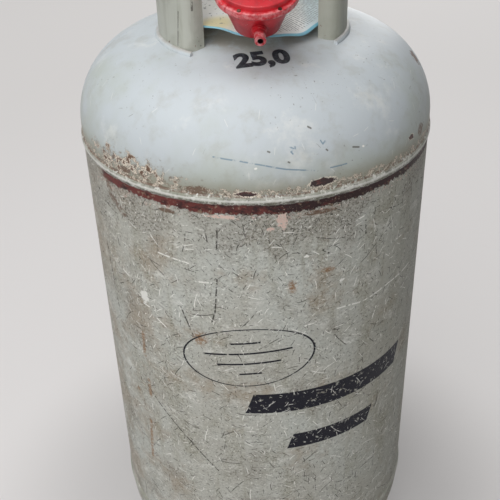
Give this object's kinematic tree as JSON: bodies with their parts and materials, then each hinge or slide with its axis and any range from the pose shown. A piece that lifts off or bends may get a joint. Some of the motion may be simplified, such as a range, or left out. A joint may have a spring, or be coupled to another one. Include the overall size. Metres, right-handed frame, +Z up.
{
  "type": "gas cylinder",
  "caption": "Upright steel gas cylinder on a foot ring, with a collar round its valve, a regulator with a hose nozzle in the collar's opening and a round card on the valve.",
  "frame": {"origin": "centre of the foot ring's underside, on the floor", "axes": "+Z up along the cylinder's axis, -Y towards the collar's opening and the regulator"},
  "size_m": [0.3592, 0.3592, 0.8643],
  "materials": {
    "grey_paint": "worn satin",
    "brass": "turned",
    "wheel_alloy": "cast",
    "steel": "plated",
    "rubber": "matt",
    "red_paint": "gloss",
    "red_plastic": "gloss",
    "zinc": "cast",
    "card": "printed card"
  },
  "bodies": {
    "vessel": {"upper_head": "grey_paint", "lower_head": "grey_paint", "shell": "grey_paint", "upper_girth_weld": "grey_paint", "lower_girth_weld": "grey_paint", "shell_seam_weld": "grey_paint", "foot_ring": "grey_paint", "foot_ring_weld": "grey_paint", "collar": "grey_paint", "collar_weld": "grey_paint", "valve_boss": "grey_paint", "valve_boss_weld": "grey_paint", "info_card": "card", "valve_body": "brass", "gland_nut": "brass", "gland_seal": "rubber", "relief_spring": "steel", "relief_cap": "brass", "outlet_seal": "rubber"},
    "plug": {"valve_plug": "brass", "valve_pad": "rubber"},
    "handwheel": {"spindle": "brass", "handwheel": "wheel_alloy", "wheel_nut": "steel"},
    "relief": {"relief_poppet": "brass"},
    "union": {"union_nut": "brass"},
    "regulator": {"inlet_stem": "brass", "regulator_housing": "red_paint", "hose_nozzle": "red_paint", "diaphragm": "rubber", "control_spring": "steel", "regulator_cover": "red_paint", "rim_rivets": "steel", "adjuster": "zinc", "adjuster_cap": "red_plastic", "lever_pin": "steel", "orifice": "brass"},
    "plate": {"diaphragm_plate": "steel"},
    "lever": {"lever": "steel"},
    "seat": {"seat_holder": "zinc", "seat_pad": "rubber"}
  },
  "joints": [
    {"name": "handwheel_turn", "type": "hinge", "parent": "plug", "child": "handwheel", "pos_m": [0, 0, 0.80754], "axis": [0, 0, 1], "range_deg": [0, 720]},
    {"name": "plug_lift", "type": "slide", "parent": "vessel", "child": "plug", "axis": [0, 0, 1], "range_m": [0, 0.003]},
    {"name": "relief_lift", "type": "slide", "parent": "vessel", "child": "relief", "axis": [0, 1, 0], "range_m": [0, 0.002], "stiffness_N_per_m": 2000, "springref_m": -0.005, "deforming": ["relief_spring"]},
    {"name": "union_turn", "type": "hinge", "parent": "vessel", "child": "union", "pos_m": [0, 0, 0.77154], "axis": [0, -0.9636, -0.2672], "continuous": true},
    {"name": "regulator_swivel", "type": "hinge", "parent": "vessel", "child": "regulator", "pos_m": [0, 0, 0.77154], "axis": [0, -0.9636, -0.2672], "range_deg": [-45, 45]},
    {"name": "diaphragm_move", "type": "slide", "parent": "regulator", "child": "plate", "axis": [0, -0.2672, 0.9636], "range_m": [0, 0.0015], "stiffness_N_per_m": 800, "springref_m": -0.005, "deforming": ["diaphragm", "control_spring"]},
    {"name": "lever_turn", "type": "hinge", "parent": "regulator", "child": "lever", "pos_m": [0, -0.07535, 0.74389], "axis": [1, 0, 0], "range_deg": [-10, 0]},
    {"name": "seat_move", "type": "slide", "parent": "regulator", "child": "seat", "axis": [0, 0.9636, 0.2672], "range_m": [0, 0.0012]}
  ],
  "couplings": [
    {"joint": "plug_lift", "follows": "handwheel_turn", "m_per_rad": 0.00023873},
    {"joint": "lever_turn", "follows": "diaphragm_move", "rad_per_m": -111.1},
    {"joint": "seat_move", "follows": "diaphragm_move", "ratio": 0.778}
  ]
}
